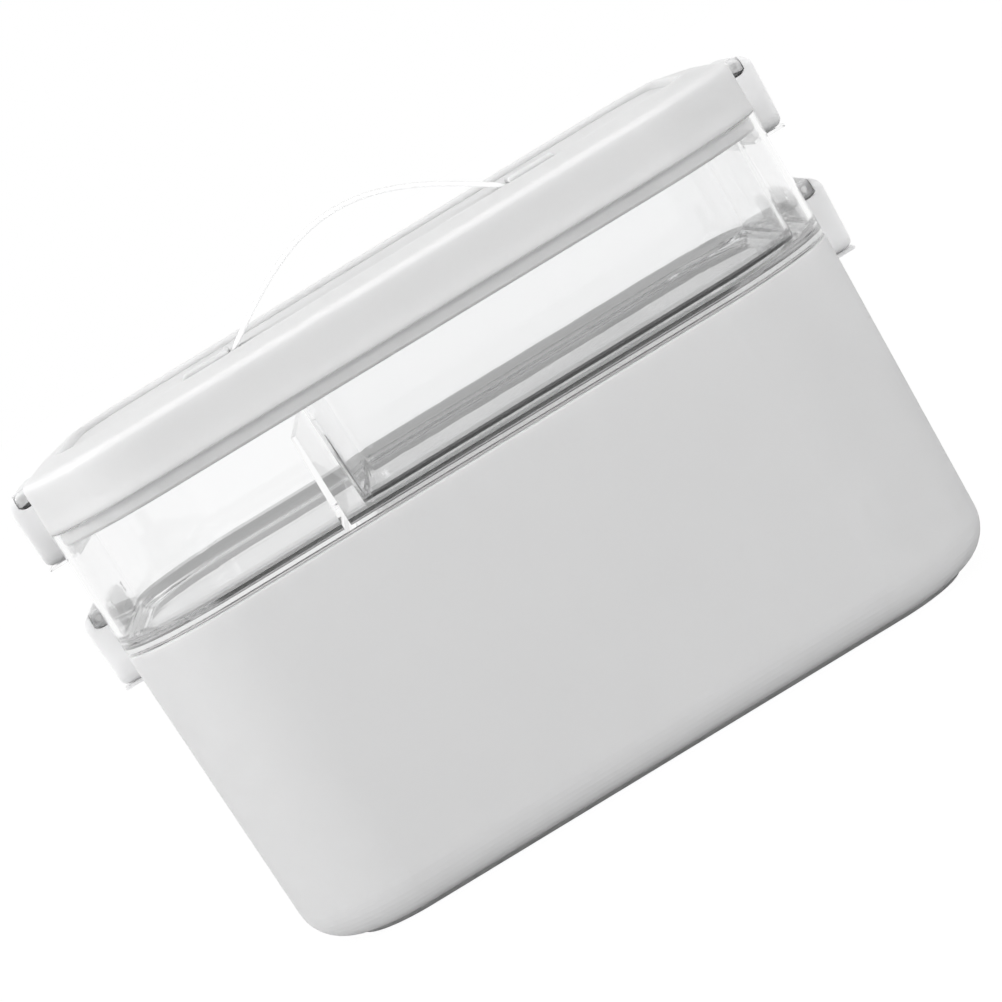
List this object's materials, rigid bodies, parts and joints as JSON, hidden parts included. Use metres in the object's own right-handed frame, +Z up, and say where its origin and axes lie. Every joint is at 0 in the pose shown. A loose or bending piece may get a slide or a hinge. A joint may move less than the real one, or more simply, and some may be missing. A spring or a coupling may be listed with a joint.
{
  "type": "medicine storage box",
  "caption": "Two-tier storage box with an opaque lower box, a clear partitioned tray with a loose insert, a lid with a strap handle, and snap latches at both ends.",
  "frame": {"origin": "centre of the overall box at the height of the surface that the foot ring stands on", "axes": "+Z up, the length between the latched ends along X, the front facing -Y"},
  "size_m": [0.3202, 0.195, 0.2328],
  "materials": {
    "grey_plastic": "fine satin injection-moulded polypropylene, pale grey",
    "white_plastic": "satin injection-moulded polypropylene, off-white",
    "latch_plastic": "satin injection-moulded polypropylene, off-white",
    "strap_plastic": "soft satin flexible plastic, near white",
    "clear_plastic": "polished clear styrene plastic",
    "pin_steel": "plain drawn steel wire"
  },
  "bodies": {
    "box": {"lower_box": "grey_plastic"},
    "tray": {"middle_tray": "clear_plastic", "lower_pin_left": "pin_steel", "lower_pin_right": "pin_steel"},
    "insert": {"insert_tray": "clear_plastic"},
    "lid": {"lid": "white_plastic", "strap_guide_left": "white_plastic", "strap_guide_right": "white_plastic", "upper_pin_left": "pin_steel", "upper_pin_right": "pin_steel"},
    "strap": {"handle_strap": "strap_plastic"},
    "strap_left_end": {"strap_end_left": "strap_plastic"},
    "strap_right_end": {"strap_end_right": "strap_plastic"},
    "upper_left_latch": {"upper_latch_left": "latch_plastic"},
    "upper_right_latch": {"upper_latch_right": "latch_plastic"},
    "lower_left_latch": {"lower_latch_left": "latch_plastic"},
    "lower_right_latch": {"lower_latch_right": "latch_plastic"}
  },
  "joints": [
    {"name": "tray_lift", "type": "slide", "parent": "box", "child": "tray", "axis": [0, 0, 1], "range_m": [0, 0.15]},
    {"name": "lid_lift", "type": "slide", "parent": "tray", "child": "lid", "axis": [0, 0, 1], "range_m": [0, 0.09]},
    {"name": "insert_lift", "type": "slide", "parent": "tray", "child": "insert", "axis": [0, 0, 1], "range_m": [0, 0.054]},
    {"name": "strap_press", "type": "slide", "parent": "lid", "child": "strap", "axis": [0, 0, -1], "range_m": [0, 0.024], "stiffness_N_per_m": 300, "deforming": ["handle_strap"]},
    {"name": "strap_left_slide", "type": "slide", "parent": "lid", "child": "strap_left_end", "axis": [-1, 0, 0], "range_m": [0, 0.0067]},
    {"name": "strap_right_slide", "type": "slide", "parent": "lid", "child": "strap_right_end", "axis": [1, 0, 0], "range_m": [0, 0.0067]},
    {"name": "upper_left_latch_hinge", "type": "hinge", "parent": "lid", "child": "upper_left_latch", "pos_m": [-0.1536, 0, 0.2011], "axis": [0, 1, 0], "range_deg": [0, 90]},
    {"name": "upper_right_latch_hinge", "type": "hinge", "parent": "lid", "child": "upper_right_latch", "pos_m": [0.1536, 0, 0.2011], "axis": [0, -1, 0], "range_deg": [0, 90]},
    {"name": "lower_left_latch_hinge", "type": "hinge", "parent": "tray", "child": "lower_left_latch", "pos_m": [-0.15304, 0, 0.1488], "axis": [0, 1, 0], "range_deg": [0, 90]},
    {"name": "lower_right_latch_hinge", "type": "hinge", "parent": "tray", "child": "lower_right_latch", "pos_m": [0.15304, 0, 0.1488], "axis": [0, -1, 0], "range_deg": [0, 90]}
  ],
  "couplings": [
    {"joint": "insert_lift", "follows": "lid_lift", "ratio": 0.6},
    {"joint": "strap_left_slide", "follows": "strap_press", "ratio": 0.27209},
    {"joint": "strap_right_slide", "follows": "strap_press", "ratio": 0.27209}
  ]
}
